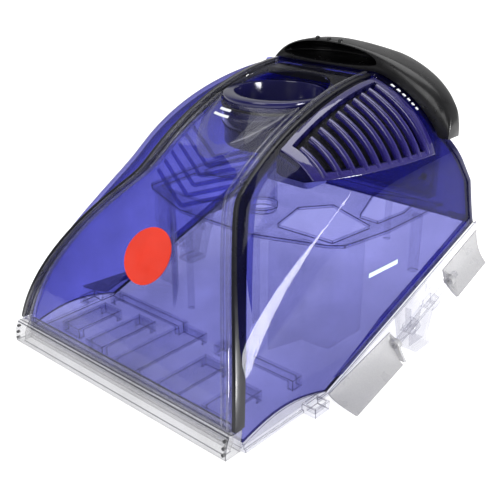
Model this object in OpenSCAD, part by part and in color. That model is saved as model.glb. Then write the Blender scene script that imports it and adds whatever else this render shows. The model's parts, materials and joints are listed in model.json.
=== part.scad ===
// Recovery tank and floor nozzle of an upright carpet cleaner.
// Working frame: X across, Y back from the front of the floor lip, Z up from the floor.
// place() moves the finished pieces so that the origin is below the middle of the whole object.

/* [Overall] */
// Depth from the floor lip to the back of the air outlet
depth = 360; // [360:1:364]
// Half width of the floor lip
half_lip = 130; // [128:1:132]
// Height of the hood's top
top_h = 224; // [222:1:226]
// Half width of the upper window and the hood's flat top
window_half = 54; // [52:1:55]
// Half width of the tank's side walls
side_half = 131; // [130:1:132]
// Wall thickness of the hood
wall = 3; // [2.5:0.5:3.5]

/* [Nozzle] */
// Thickness of the clear window
glass = 2.5; // [2:0.5:3]
// Gap of the suction channel between the window and the ramp
channel = 6.5; // [6:0.5:7]
// Height of the floor lip
lip_h = 19; // [17:1:21]
// Ribs on the suction ramp
ramp_ribs = 6; // [4:1:7]

/* [Port] */
// Distance of the port's centre from the lip
port_y = 205; // [203:1:206]
// Height of the diverter cup's rim
port_z = 212; // [210:1:213]
// Outer radius of the cup's rim
port_r = 46; // [45:1:46]
// Radius of the hose bore
bore_r = 39; // [37:0.5:39]
// Offset of the bore towards the back
bore_shift = 4.5; // [3:0.5:4.5]

/* [Filter] */
// Louvres in the filter grille
louvres = 10; // [6:1:11]

/* [Latches] */
// Slope of the tank's lower rim, rise over run
rim_slope = 0.35; // [0.34:0.01:0.36]
// Radius of the latch rods
rod_r = 3; // [2.5:0.5:3]
// Radial running clearance of pins in their bores
fit = 0.05; // [0.02:0.01:0.1]

/* [Hidden] */

violet = [0.30, 0.28, 0.68];
deep_violet = [0.16, 0.14, 0.42];
clear = [0.86, 0.88, 0.93];
frosted = [0.78, 0.79, 0.80];
black = [0.08, 0.08, 0.08];
white = [0.95, 0.95, 0.95];

y_lip = 8;                       // front of the window above the lip
y_top = 280;                     // where the front arc reaches the top
rear_y = 344;                    // rear wall at the rim
rear_mid = [329, 128];           // knee of the rear wall
top_rear = [283, 184];           // rear wall meets the upright top edge
flat_end = 116;                  // the rim is level in front of this
rim_z = 3;                       // thickness of the tray plate
rim_a = atan(rim_slope);
corner_h = 155;                  // height at which the window's edges become parallel
shoulder_z = 150;                // the shoulders curve in above this
seal_t = 1.5;                    // tank seal between hood and tray
ramp_d = glass + channel;        // depth of the ramp below the window's outer face
ramp_t = 2.5;
grille_y = [138, 264];
grille_z = 167;
grille_x = 62;
pivot = [46, 316, 210];          // handle pivot, on lugs above the duct
handle_front = 275.5;
float_axis = [268, 174];         // float pin, Y and Z
rod_x = 145;
rod_drop = 14;                   // rod axis below the rim line
seal_w = 3.2;                    // groove for the black seal outside each window edge
edge_back = 268;                 // the window's edge bars and seals end here
spout_y = 188;                   // inlet spout under the cup
outlet_r = 22;                   // air outlet bore
duct_half = 86;
duct_top = 200;
duct_back = 352;
cup_floor = 168;
handle_back = 332;
handle_left = 60;
handle_right = 134;
scoop_floor = 227.5;
badge_u = 32;                    // place of the badge along the front arc
flare_t = [-1.7, 0, -1.2];       // wall of the paddles, measured inwards

module place() translate([0, -depth / 2, 0]) children();
module mirrored() for (s = [0, 1]) mirror([s, 0, 0]) children();

// Extrudes an outline given as [y, z] points across X, between two X values.
module across(x0, x1, outline)
    translate([x0, 0, 0]) rotate([90, 0, 90]) linear_extrude(x1 - x0) polygon(outline);

// Rounded box between two corners, rounded in plan only.
module slab(a, b, r = 2) {
    $fn = 32;
    linear_extrude_from(a[2], b[2]) offset(r) offset(-r) translate([a[0], a[1]])
        square([b[0] - a[0], b[1] - a[1]]);
}
module linear_extrude_from(z0, z1) translate([0, 0, z0]) linear_extrude(z1 - z0) children();

// Closed solid through rows of points, each row one ring seen anticlockwise from above.
module loft(rows) {
    n = len(rows[0]);
    m = len(rows);
    sides = [for (i = [0:m - 2], j = [0:n - 1]) let (a = i * n + j, b = i * n + (j + 1) % n)
        each [[a, a + n, b], [b, a + n, b + n]]];
    polyhedron([for (r = rows) each r],
        concat([[for (j = [0:n - 1]) j]], sides, [[for (j = [n - 1:-1:0]) (m - 1) * n + j]]));
}

// The front arc, from the lip (u = 0) to the top (u = 90), and its outward normal, as [y, z].
function arc(u) = [y_top - (y_top - y_lip) * cos(u), top_h * pow(sin(u), 1.18)];
function arc_normal(u) = let (
    dy = (y_top - y_lip) * sin(u),
    dz = top_h * 1.18 * pow(max(sin(u), 0.01), 0.18) * cos(u)) [-dz, dy] / norm([dy, dz]);
function front(u, d) = arc(u) - d * arc_normal(u);
function arc_u(z) = asin(pow(z / top_h, 1 / 1.18));

// Half width of the window at a height: a curved taper that ends in parallel edges.
function window_x(z) = let (e = half_lip - (half_lip - window_half) * pow(max(z, 0) / corner_h, 1.9))
    window_half + 3 * ln(1 + exp((e - window_half) / 3));
function shoulder_x(z) = z < shoulder_z
    ? side_half + 3 * max(0, 1 - z / 100)
    : window_half + 1 + (side_half - window_half - 1)
        * pow(max(0, 1 - pow((z - shoulder_z) / (top_h - shoulder_z), 2)), 0.71);

// One level section of the hood, t below its outer surface.
function hood_row(u, t, low = 0) = let (
    p = front(u, t),
    z = arc(u)[1],
    w = window_x(z) - t / 2,
    s = max(w + 0.2, shoulder_x(z) - t),
    side = [for (q = [0:10:90]) [w + (s - w) * sin(q), y_top - (y_top - p[0]) * cos(q), p[1] - low]])
    concat([[-s, rear_y + 20, p[1] - low]], [for (i = [9:-1:0]) [-side[i][0], side[i][1], side[i][2]]],
        side, [[s, rear_y + 20, p[1] - low]]);
function rim(y) = rim_z + max(0, y - flat_end) * rim_slope;
function rim_arch(y) = rim_z + seal_t + 11 * max(0, sin(180 * (y - y_lip) / (flat_end - y_lip)));
function lower_edge(y) = y < flat_end ? rim_arch(y) : rim(y) + seal_t;

module hood_form(t) {
    intersection() {
        loft(concat([hood_row(0, t, 10)], [for (u = [0:5:90]) hood_row(u, t)]));
        across(-200, 200, [[-20, -20], [rear_y - t, -20], [rear_y - t, 76],
            [rear_mid[0] - t, rear_mid[1]], [top_rear[0] - t, top_rear[1] - t / 2],
            [top_rear[0] - t, 300], [-20, 300]]);
    }
}

// Heights at which the window's edge has a corner, closer together where it bends most.
edge_z = concat([-20], [for (z = [0:12:132]) z], [for (z = [138:4:166]) z], [180, 260]);

// Everything between the window's two edges, m inside them.
module window_cut(m) translate([0, 420, 0]) rotate([90, 0, 0]) linear_extrude(500)
    polygon(concat([for (z = edge_z) [window_x(z) - m, z]],
        [for (i = [len(edge_z) - 1:-1:0]) [m - window_x(edge_z[i]), edge_z[i]]]));

// The front arc moved in by d, from below the floor to behind the top.
function front_line(d) = concat(
    [[front(0, d)[0], -30]], [for (u = [0:3:90]) front(u, d)], [[400, top_h - d]]);
function backwards(line) = [for (i = [len(line) - 1:-1:0]) line[i]];
module layer(d0, d1) across(-200, 200, concat(front_line(d0), backwards(front_line(d1))));
module window_layer(d0, d1, m) {
    intersection() {
        layer(d0, d1);
        window_cut(m);
    }
}

// A bar along the window's right edge: from m0 to m1 inside the edge, between two depths, back to y1.
module edge_bar(m0, m1, d0, d1, y1) {
    intersection() {
        layer(d0, d1);
        difference() {
            window_cut(m0);
            window_cut(m1);
        }
        translate([0, -20, lip_h + 1.5]) cube([200, y1 + 20, 300]);
    }
}

function below_rim() = concat([[-20, -20], [-20, rim_arch(y_lip)]],
    [for (y = [y_lip:(flat_end - y_lip) / 12:flat_end]) [y, rim_arch(y)]],
    [[400, lower_edge(400)], [400, -20]]);

module grille_zone(m) translate([grille_x - m, grille_y[0] - m, grille_z - m])
    cube([100, grille_y[1] - grille_y[0] + 2 * m, 100]);
module port_hole(r, z0 = 150, z1 = 260) translate([0, port_y, z0]) cylinder(r = r, h = z1 - z0, $fn = 96);
module rear_band(t0, t1) {
    difference() {
        across(-200, 200, [[200, -20], [rear_y - t0, -20], [rear_y - t0, 76], [rear_mid[0] - t0, rear_mid[1]],
            [top_rear[0] - t0, top_rear[1] - t0 / 2], [top_rear[0] - t0, 300], [200, 300]]);
        across(-201, 201, [[199, -21], [rear_y - t1, -21], [rear_y - t1, 76], [rear_mid[0] - t1, rear_mid[1]],
            [top_rear[0] - t1, top_rear[1] - t1 / 2], [top_rear[0] - t1, 301], [199, 301]]);
    }
}

module tank_hood() place() color(violet) {
    difference() {
        hood_form(0);
        difference() {
            hood_form(wall);
            difference() {
                window_layer(-5, ramp_d + ramp_t, -seal_w - ramp_t);
                translate([-200, y_top - 1, 0]) cube([400, 200, 300]);
            }
        }
        difference() {
            window_layer(-5, ramp_d, -seal_w);
            translate([-200, y_top - 8, 0]) cube([400, 200, 300]);
        }
        rear_band(-5, wall + 0.2);
        across(-200, 200, below_rim());
        port_hole(port_r + 1.5, 130);
        grille_zone(0.3);
    }
}

module rear_cover() place() color(deep_violet) {
    difference() {
        intersection() {
            hood_form(0);
            rear_band(0, wall);
        }
        across(-200, 200, [[-20, -20], [200, rim(200) + seal_t], [400, rim(400) + seal_t], [400, -20]]);
        translate([-30, 250, 187]) cube([60, 60, 11]);
    }
}

module rear_duct() place() color(violet) {
    difference() {
        across(-duct_half, duct_half, [[top_rear[0] + 0.1, duct_top], [top_rear[0] + 0.1, top_rear[1]],
            [rear_mid[0] + 0.1, rear_mid[1]], [rear_mid[0] + 9.6, 96],
            [duct_back, 96], [duct_back, duct_top - 12],
            [duct_back - 12, duct_top]]);
        across(-duct_half + wall, duct_half - wall, [[top_rear[0] - 1, duct_top - wall],
            [top_rear[0] - 1, top_rear[1] + 1], [rear_mid[0] + wall, rear_mid[1] + 3], [rear_mid[0] + 12, 99],
            [duct_back - wall, 99], [duct_back - wall, duct_top - 13], [duct_back - 13, duct_top - wall]]);
        translate([0, duct_back - 20, 150]) rotate([-90, 0, 0]) cylinder(r = outlet_r, h = 40, $fn = 64);
    }
    difference() {
        translate([0, duct_back - 1, 150]) rotate([-90, 0, 0])
            cylinder(r = outlet_r + 3, h = depth - duct_back + 1, $fn = 64);
        translate([0, duct_back - 20, 150]) rotate([-90, 0, 0]) cylinder(r = outlet_r, h = 40, $fn = 64);
    }
}

module outlet_seal() place() color(black)
    translate([0, duct_back + 0.1, 150]) rotate([-90, 0, 0]) rotate_extrude($fn = 64)
        translate([outlet_r + 3.1, 0]) square([2.5, 5]);

module duct_screws() place() color([0.6, 0.6, 0.62])
    for (x = [-70, 70], z = [112, 182]) translate([x, duct_back - 8, z]) rotate([-90, 0, 0]) {
        cylinder(r = 1.5, h = 8, $fn = 24);
        translate([0, 0, 8]) cylinder(r = 3.5, h = 2, $fn = 32);
    }

// Ribs lie on the ramp as chevrons that run from the middle down to both edges.
module suction_ramp_ribs() place() color(deep_violet)
    for (i = [0:ramp_ribs - 1]) let (u0 = 43 + 2.3 * i)
        mirrored() loft([for (k = [0:6]) let (u = u0 + 0.9 * k, x = 1 + 7.5 * k,
            a = front(u, ramp_d - 2), b = front(u, ramp_d + 0.1), c = front(u + 0.8, ramp_d + 0.1),
            e = front(u + 0.8, ramp_d - 2))
            [[x, a[0], a[1]], [x, b[0], b[1]], [x, c[0], c[1]], [x, e[0], e[1]]]]);

module front_nozzle() place() color(clear, 0.5) {
    difference() {
        window_layer(0, glass, 1);
        translate([-200, -50, -50]) cube([400, 100, 50 + lip_h]);
        translate([-200, y_top - 10, 0]) cube([400, 200, 300]);
        port_hole(port_r + 1.5);
    }
}

// Rubber block that closes the suction channel behind the port.
module channel_end() place() color(black)
    intersection() {
        window_layer(glass, ramp_d - 0.2, 5.3);
        slab([-70, port_y + port_r + 2.5, 180], [70, y_top - 9, 240], 8);
    }

module nozzle_ridges() place() color(clear, 0.5) mirrored() {
    edge_bar(2, 4.5, -3, 0, edge_back);
    edge_bar(9, 11, -2, 0, 182);
    edge_bar(3, 5, glass, ramp_d - 0.2, edge_back);
}

module nozzle_lip() place() color(clear) {
    difference() {
        across(-half_lip, half_lip, [[0.5, 0], [16, 0], [17, 6], [18.5, lip_h - 0.05], [8.2, lip_h - 0.05],
            [6.4, lip_h + 0.6], [4, lip_h - 0.6], [1.5, 13], [0, 4]]);
        across(-half_lip + 6, half_lip - 6, [[5, -1], [11, -1], [15.2, 6], [16.8, lip_h + 1],
            [12.8, lip_h + 1], [6, 8]]);
    }
}

module lip_pins() place() color(black) mirrored()
    for (p = [[0, 4], [0.5, 9.5], [1.9, 15]]) translate([half_lip - 3, p[0], p[1]]) rotate([-90, 0, 0])
        cylinder(r = 1.3, h = 2.5, $fn = 24);

module nozzle_seal() edge_bar(-seal_w + 0.2, 0.6, -1.2, ramp_d - 0.2, edge_back);
module nozzle_seal_left() place() color(black) mirror([1, 0, 0]) nozzle_seal();
module nozzle_seal_right() place() color(black) nozzle_seal();

// Clear skirt: a cone around the port, cut off where it meets the window.
module port_collar() place() color(clear, 0.5) {
    difference() {
        translate([0, port_y, 0]) rotate_extrude($fn = 96)
            polygon([[91, 170], [port_r + 1.6, port_z - 4], [port_r + 1.6, port_z - 8], [86, 170]]);
        across(-200, 200, concat(front_line(-0.1), [[400, -30]]));
        translate([window_half - 1, -1, 0]) cube([100, 400, 300]);
        translate([-window_half - 99, -1, 0]) cube([100, 400, 300]);
    }
}

module port_seal() place() color(black) translate([0, port_y, port_z - 10])
    rotate_extrude($fn = 96) translate([port_r + 0.25, 0]) circle(r = 1.05, $fn = 32);

module diverter_cup() place() color(deep_violet) {
    difference() {
        translate([0, port_y, 0]) rotate_extrude($fn = 96)
            polygon([[0, cup_floor], [port_r - 1, cup_floor], [port_r - 1, port_z - 5], [port_r, port_z - 5],
                [port_r, port_z - 1.5], [port_r - 1.5, port_z], [0, port_z]]);
        translate([0, port_y + 2, cup_floor + 3]) cylinder(r = bore_r - 1, h = 30, $fn = 96);
        translate([0, port_y + bore_shift, port_z - 22]) cylinder(r = bore_r, h = 30, $fn = 96);
        translate([0, spout_y, cup_floor - 2]) cylinder(r = 12, h = 10, $fn = 64);
    }
}

// Slanted plate in the cup that turns the flow towards the spout.
module cup_deflector() place() color(deep_violet)
    translate([0, port_y + 2, cup_floor + 3.02]) {
        difference() {
            cylinder(r = bore_r - 3, h = 17, $fn = 64);
            translate([0, 0, 9]) rotate([18, 0, 0]) translate([-60, -60, 0]) cube([120, 120, 60]);
            translate([0, 0, 5]) rotate([18, 0, 0]) translate([-60, -60, -60]) cube([120, 120, 60]);
        }
    }

module inlet_spout() place() color(violet)
    translate([0, spout_y, 106]) difference() {
        cylinder(r = 14, h = cup_floor - 107, $fn = 64);
        translate([0, 0, -1]) cylinder(r = 12, h = 80, $fn = 64);
    }

module filter_grille() place() color(deep_violet) {
    difference() {
        intersection() {
            hood_form(0);
            grille_zone(-0.2);
        }
        hood_form(wall);
        translate([grille_x + 6, grille_y[0] + 7, grille_z + 5])
            cube([100, grille_y[1] - grille_y[0] - 14, 100]);
    }
}

// X and Z of the hood's surface in a plane of constant Y, and the same moved out by d.
function shoulder_pt(y, z) = let (u = arc_u(z), f = arc(u)[0], w = window_x(z),
    c = (y_top - y) / max(0.01, y_top - f)) [w + (shoulder_x(z) - w) * sqrt(max(0, 1 - c * c)), z];
function shoulder_out(y, z, d) =
    let (p = shoulder_pt(y, z), q = shoulder_pt(y, z + 0.4), v = (q - p) / norm(q - p))
    p + d * [v[1], -v[0]];
function crest_z(y) = arc(acos((y_top - y) / (y_top - y_lip)))[1];

module grille_louvres() place() color(violet) {
    for (i = [0:louvres - 1]) {
        y = grille_y[0] + 10 + (grille_y[1] - grille_y[0] - 20) * i / (louvres - 1);
        z0 = grille_z + 2;
        z1 = crest_z(y) - 5;
        zs = [for (k = [0:10]) z0 + (z1 - z0) * k / 10];
        translate([0, y + 1.2, 0]) rotate([90, 0, 0]) linear_extrude(2.4)
            polygon(concat([for (z = zs) shoulder_out(y, z, 1.6)],
                [for (k = [10:-1:0]) shoulder_out(y, zs[k], -2.6)]));
    }
}

module filter_foam() place() color(black) {
    difference() {
        intersection() {
            hood_form(wall + 1.5);
            grille_zone(-4);
        }
        hood_form(wall + 9);
    }
}

// Frame that the foam sits in.
module filter_tray() place() color(deep_violet) {
    difference() {
        intersection() {
            hood_form(wall + 0.3);
            grille_zone(2);
        }
        hood_form(wall + 10);
        grille_zone(-3.5);
    }
}

// The grip ends beside the port on the left and runs down over the shoulder on the right.
function handle_x(k) = (k < 0 ? handle_left : handle_right) * sin(4.5 * k);
function handle_top(x) = x < 0 ? 221 + 26.3 * sqrt(max(0, 1 - pow(x / (handle_left + 1), 2)))
    : 187 + 60.3 * pow(max(0, 1 - pow(x / (handle_right - 0.5), 1.7)), 0.48);
function handle_low(x) = x < 56 ? top_h + 1.5
    : shoulder_z + 1.5 + (top_h - shoulder_z) * pow(max(0, 1 - pow((x - window_half - 1)
        / (side_half - window_half - 1), 1.408)), 0.5);
module carry_handle() place() color(black) {
    xs = [for (k = [-20:20]) handle_x(k)];
    difference() {
        intersection() {
            translate([0, handle_back, 0]) rotate([90, 0, 0]) linear_extrude(handle_back - handle_front)
                polygon(concat([for (x = xs) [x, max(handle_low(abs(x)), 178)]],
                    [for (x = backwards(xs)) [x, max(handle_top(x), handle_low(abs(x)) + 1)]]));
            linear_extrude_from(100, 300) polygon(concat(
                [[handle_right + 1, handle_front], [-handle_left - 6, handle_front]],
                [for (q = [180:-7.5:0]) [(q > 90 ? handle_left + 6 : handle_right + 1) * cos(q),
                    286 + (handle_back - 286) * sin(q)]]));
            across(-200, 200, [[270, 150], [400, 150], [handle_back + 1, 206],
                [322, 232], [306, 244], [290, 250],
                [270, 252]]);
        }
        translate([0, 307, 0]) rotate([90, 0, 0]) linear_extrude(50)
            polygon([for (q = [0:10:350]) [52 * cos(q), max(scoop_floor, 228 + 17 * sin(q))]]);
    }
    mirrored() handle_ear();
}

// Pivot ear under the handle, around the pin.
module handle_ear() {
    difference() {
        union() {
            translate(pivot + [-3, 0, 0]) rotate([0, 90, 0]) cylinder(r = 5.5, h = 6, $fn = 48);
            translate(pivot + [-3, -5, 0]) cube([6, 10, top_h + 2 - pivot[2]]);
        }
        translate(pivot + [-5, 0, 0]) rotate([0, 90, 0]) cylinder(r = 3 + fit, h = 10, $fn = 48);
    }
}

module handle_bumps() place() color(black)
    for (x = [-13, 0, 13]) translate([x, 281, 246.4]) cylinder(r1 = 2.6, r2 = 1.6, h = 2.6, $fn = 32);

module handle_pins() place() color([0.7, 0.7, 0.78]) mirrored()
    translate(pivot + [-16, 0, 0]) rotate([0, 90, 0]) cylinder(r = 3, h = 26, $fn = 48);

// Lugs on the duct, one on each side of every handle ear.
module pivot_lugs() place() color(violet) mirrored()
    difference() {
        for (x = [-8, 4]) across(pivot[0] + x, pivot[0] + x + 4, [[pivot[1] - 7, duct_top + 0.05],
            [pivot[1] + 7, duct_top + 0.05], [pivot[1] + 5, pivot[2] + 4], [pivot[1] - 5, pivot[2] + 4]]);
        translate(pivot + [-20, 0, 0]) rotate([0, 90, 0]) cylinder(r = 3, h = 40, $fn = 48);
    }

// Torsion spring: close coils around the right pin's inner end.
module handle_spring() place() color([0.6, 0.6, 0.62])
    for (i = [0:3]) translate([pivot[0] - 9.4 - 1.5 * i, pivot[1], pivot[2]]) rotate([0, -90, 0])
        rotate_extrude($fn = 48) translate([4.2, 0]) circle(r = 0.7, $fn = 16);

// Half of the baffle plate's outline, on the right.
function baffle_outline() = [[42, 125], [104, 148], [115, 157], [123, 207], [124, 270], [124, 296]];
module baffle_plate() place() color(violet)
    linear_extrude_from(110, 113) difference() {
        polygon(concat(baffle_outline(),
            [for (i = [5:-1:0]) [-baffle_outline()[i][0], baffle_outline()[i][1]]]));
        mirrored() {
            polygon([[45, 157], [33, 200], [52, 226], [105, 206], [101, 159]]);
            polygon([[85, 221], [62, 278], [101, 288], [107, 256], [104, 220]]);
        }
        translate([0, spout_y]) circle(r = 14.2, $fn = 64);
    }

module baffle_posts() place() color(deep_violet) mirrored() {
    slab([114, 258, rim(266) + 0.2], [122, 266, 109.8], 1.5);
    slab([38, 132, rim(140) + 0.2], [43, 137, 109.8], 1);
    slab([68, 288, rim(292) + 0.4], [74, 292, 109.8], 1);
}

// Upright walls between the tray and the baffle plate, as a folded screen.
function screen() = [[60, 129], [78, 151], [98, 152], [106, 153], [112, 170], [117, 182]];
module separator_walls() place() color(violet) mirrored() {
    difference() {
        for (i = [0:len(screen()) - 2]) let (a = screen()[i], b = screen()[i + 1], v = (b - a) / norm(b - a))
            linear_extrude_from(0, 109.8) polygon([a - 0.5 * v, b + 0.5 * v, b + 0.5 * v + 2 * [-v[1], v[0]],
                a - 0.5 * v + 2 * [-v[1], v[0]]]);
        across(0, 200, [[0, -20], [0, rim(0) + 0.2], [flat_end, rim(0) + 0.2],
            [400, rim(400) + 0.2], [400, -20]]);
    }
}

module float_block() place() color(white)
    slab([-26, 222, 122], [26, 254, 140], 6);

module float_arm() place() color(deep_violet) mirrored() {
    translate([22, 0, 0]) difference() {
        union() {
            across(0, 4, [[246, 137], [252, 134], [float_axis[0] + 3, float_axis[1] - 3],
                [float_axis[0] - 4, float_axis[1] + 1]]);
            translate([0, float_axis[0], float_axis[1]]) rotate([0, 90, 0]) cylinder(r = 5, h = 4, $fn = 48);
        }
        translate([-1, float_axis[0], float_axis[1]]) rotate([0, 90, 0])
            cylinder(r = 2 + fit, h = 6, $fn = 48);
    }
}

module shutoff_door() place() color(deep_violet)
    translate([-34, float_axis[0] - 1, float_axis[1] + 4.5]) cube([68, 2, 22.5]);

module float_pin() place() color([0.7, 0.7, 0.72])
    translate([-40, float_axis[0], float_axis[1]]) rotate([0, 90, 0]) cylinder(r = 2, h = 80, $fn = 48);

module float_bracket() place() color(violet) mirrored()
    difference() {
        across(35, 38, [[262, 168], [279.8, 168], [279.8, 183], [274, 183], [262, 180]]);
        translate([34, float_axis[0], float_axis[1]]) rotate([0, 90, 0]) cylinder(r = 2, h = 6, $fn = 48);
    }

module base_tray() place() color(clear, 0.5) {
    floor_line = [[17, 0], [flat_end, 0],
        [rear_y + 3, rim(rear_y + 3) - rim_z], [rear_y + 3, rim(rear_y + 3)],
        [flat_end, rim_z], [17, rim_z]];
    across(-side_half - 3.2, side_half + 3.2, floor_line);
    mirrored() across(side_half - 1, side_half + 1.5, concat([[17, rim_z]], [for (q = [0:10])
        let (y = 17 + (flat_end - 17) * q / 10) [y, max(rim_z, rim_arch(y) - 0.6)]], [[flat_end, rim_z]]));
    mirrored() difference() {
        translate([side_half, 84, 0]) cube([15, 18, 8]);
        translate([side_half + 4.5, 86, 2]) cube([8.5, 14, 10]);
    }
}

// Inverted-U drainage channels on the level part of the tray: [x, y, length, width, along_x].
channels = [[-108, 36, 50, 24, 0], [-66, 30, 62, 22, 0], [-24, 24, 84, 30, 0], [30, 22, 60, 26, 0],
    [80, 26, 46, 22, 0], [-118, 100, 96, 12, 1], [24, 98, 88, 12, 1]];
module tray_channels() place() color(clear)
    for (c = channels) translate([c[0], c[1], rim_z + 0.01]) {
        s = c[4] == 1 ? [c[2], c[3]] : [c[3], c[2]];
        difference() {
            cube([s[0], s[1], 10]);
            translate([1.5, 1.5, -1]) cube([s[0] - 3, s[1] - 3, 9.5]);
            if (c[4] == 1) translate([6, -1, -1]) cube([s[0] - 12, s[1] + 2, 8]);
            if (c[4] == 0) translate([-1, 6, -1]) cube([s[0] + 2, s[1] - 12, 8]);
        }
    }

module tank_seal() place() color(black) mirrored()
    across(side_half - 0.4, side_half + 1.2, [[flat_end, rim_z + 0.02], [rear_y - 1, rim(rear_y - 1) + 0.02],
        [rear_y - 1, rim(rear_y - 1) + seal_t - 0.05], [flat_end, rim_z + seal_t - 0.05]]);

// Moves children so that their Z axis runs along the latch rod, starting at y.
module along_rod(y) translate([rod_x, y, rim(y) - rod_drop]) rotate([rim_a - 90, 0, 0]) children();

module hinge_bracket() {
    difference() {
        union() {
            for (y = [216, 248]) {
                along_rod(y) cylinder(r = 6.5, h = 9, $fn = 64);
                across(side_half + 1, rod_x - 4, [[y + 1, rim(y + 1) - rim_z], [y + 9, rim(y + 9) - rim_z],
                    [y + 11, rim(y) - rod_drop - 3], [y + 2, rim(y) - rod_drop - 6]]);
            }
            across(side_half + 1, side_half + 4, [[212, rim(212) - rim_z], [262, rim(262) - rim_z], [246, 0],
                [222, 0]]);
            slab([side_half, 222, 0], [rod_x + 6, 246, 3], 2);
            across(rod_x - 1.5, rod_x + 1.5, [[222, 2], [246, 2], [256, rim(248) - rod_drop - 2],
                [219, rim(216) - rod_drop - 2]]);
        }
        along_rod(190) cylinder(r = rod_r + fit, h = 100, $fn = 64);
    }
}
module hinge_bracket_left() place() color(clear) mirror([1, 0, 0]) hinge_bracket();
module hinge_bracket_right() place() color(clear) hinge_bracket();

module latch_rod() along_rod(194) cylinder(r = rod_r, h = 104, $fn = 48);
module latch_rod_left() place() color(clear) mirror([1, 0, 0]) latch_rod();
module latch_rod_right() place() color(clear) latch_rod();

// A flared sheet from a top edge to a tip edge, hollow on its outer side.
// top0, tip0 are the front ends and top1, tip1 the rear ends.
function bend(a, b, q) = let (m = [a[0] + 5, (a[1] + b[1]) / 2, b[2] + (a[2] - b[2]) * 0.25])
    (1 - q) * (1 - q) * a + 2 * q * (1 - q) * m + q * q * b;
module flare(top0, tip0, top1, tip1)
    loft([for (q = [1:-0.125:0]) let (a = bend(top0, tip0, q), b = bend(top1, tip1, q))
        [a + flare_t, a, b, b + flare_t]]);

// End web of a paddle, with the ear that holds the latch rod.
module paddle_web(y, low_x, low_z) {
    z = rim(y) - rod_drop;
    difference() {
        union() {
            translate([0, y + 2.5, 0]) rotate([90, 0, 0]) linear_extrude(2.5)
                polygon([[138.5, z + 8], [rod_x + 4, z + 3], [rod_x + 4.5, z - 2], [low_x, low_z],
                    [low_x - 5, low_z], [rod_x - 3, z - 3]]);
            along_rod(y) translate([0, 0, -1]) cylinder(r = 5, h = 5, $fn = 48);
        }
        along_rod(y) translate([0, 0, -12]) cylinder(r = rod_r + 0.02, h = 30, $fn = 48);
    }
}
module front_paddle() {
    flare([138.5, 112, 6.5], [170, 106, 3], [138.5, 197, rim(197) - 5], [157, 191, 4]);
    paddle_web(195, 156, 4);
}
module rear_paddle() {
    flare([138.5, 282, rim(282) - 5], [158, 277, 37], [138.5, 340, rim(340) - 4], [158, 326, 54]);
    paddle_web(281, 157, 37.5);
}
module front_paddle_left() place() color(frosted) mirror([1, 0, 0]) front_paddle();
module front_paddle_right() place() color(frosted) front_paddle();
module rear_paddle_left() place() color(frosted) mirror([1, 0, 0]) rear_paddle();
module rear_paddle_right() place() color(frosted) rear_paddle();

// Raised level bar on the right wall.
module full_level_mark() place() color(white) {
    a = shoulder_pt(172, 86);
    b = shoulder_pt(212, 86);
    translate([a[0] + 0.4, 172, 83.5]) rotate([0, 0, -atan((b[0] - a[0]) / 40)]) cube([0.6, 40, 4]);
}

// Plain round badge on the window.
module window_badge() place() color([0.85, 0.16, 0.08]) intersection() {
    window_layer(-0.8, -0.15, 4);
    translate([0, arc(badge_u)[0], arc(badge_u)[1]]) rotate([50, 0, 0])
        cylinder(r = 24, h = 30, center = true, $fn = 64);
}

// A point on the collar's cone at height z, moved down the slope and out from it.
cone_run = (91 - port_r - 1.6) / (port_z - 4 - 170);
function cone_pt(z, down, out) = let (v = [cone_run, -1] / norm([cone_run, -1]))
    [port_r + 1.6 + (port_z - 4 - z) * cone_run, z] + down * v + out * [-v[1], v[0]];

// Two plain bars on the collar: [height, first angle, angle covered].
port_bars = [[203, 251, 15], [199, 248, 20]];
module port_mark() place() color(white)
    for (b = port_bars) translate([0, port_y, 0]) rotate([0, 0, b[1]]) rotate_extrude(angle = b[2], $fn = 96)
        polygon([cone_pt(b[0], -1.2, 0.15), cone_pt(b[0], -1.2, 0.7),
            cone_pt(b[0], 1.2, 0.7), cone_pt(b[0], 1.2, 0.15)]);

// Row of ticks between grille and handle.
module grille_marks() place() color(white)
    for (z = [200:3.2:216]) translate([0, 272, 0]) rotate([90, 0, 0]) linear_extrude(2.5)
        polygon([shoulder_out(270, z, 0.7), shoulder_out(270, z, 0.15), shoulder_out(270, z + 1.6, 0.15),
            shoulder_out(270, z + 1.6, 0.7)]);

tank_hood();
rear_cover();
rear_duct();
outlet_seal();
duct_screws();
suction_ramp_ribs();
front_nozzle();
nozzle_ridges();
nozzle_lip();
lip_pins();
nozzle_seal_left();
nozzle_seal_right();
channel_end();
port_collar();
port_seal();
diverter_cup();
cup_deflector();
inlet_spout();
filter_grille();
grille_louvres();
filter_foam();
filter_tray();
carry_handle();
handle_bumps();
handle_pins();
pivot_lugs();
handle_spring();
baffle_plate();
baffle_posts();
separator_walls();
float_block();
float_arm();
shutoff_door();
float_pin();
float_bracket();
base_tray();
tray_channels();
tank_seal();
hinge_bracket_left();
hinge_bracket_right();
latch_rod_left();
latch_rod_right();
front_paddle_left();
front_paddle_right();
rear_paddle_left();
rear_paddle_right();
full_level_mark();
window_badge();
port_mark();
grille_marks();
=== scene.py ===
import bpy
import bmesh
import json
from math import sin, cos, radians, sqrt, log, exp, asin, acos, degrees, atan, pi
from mathutils import Vector, Matrix


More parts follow.
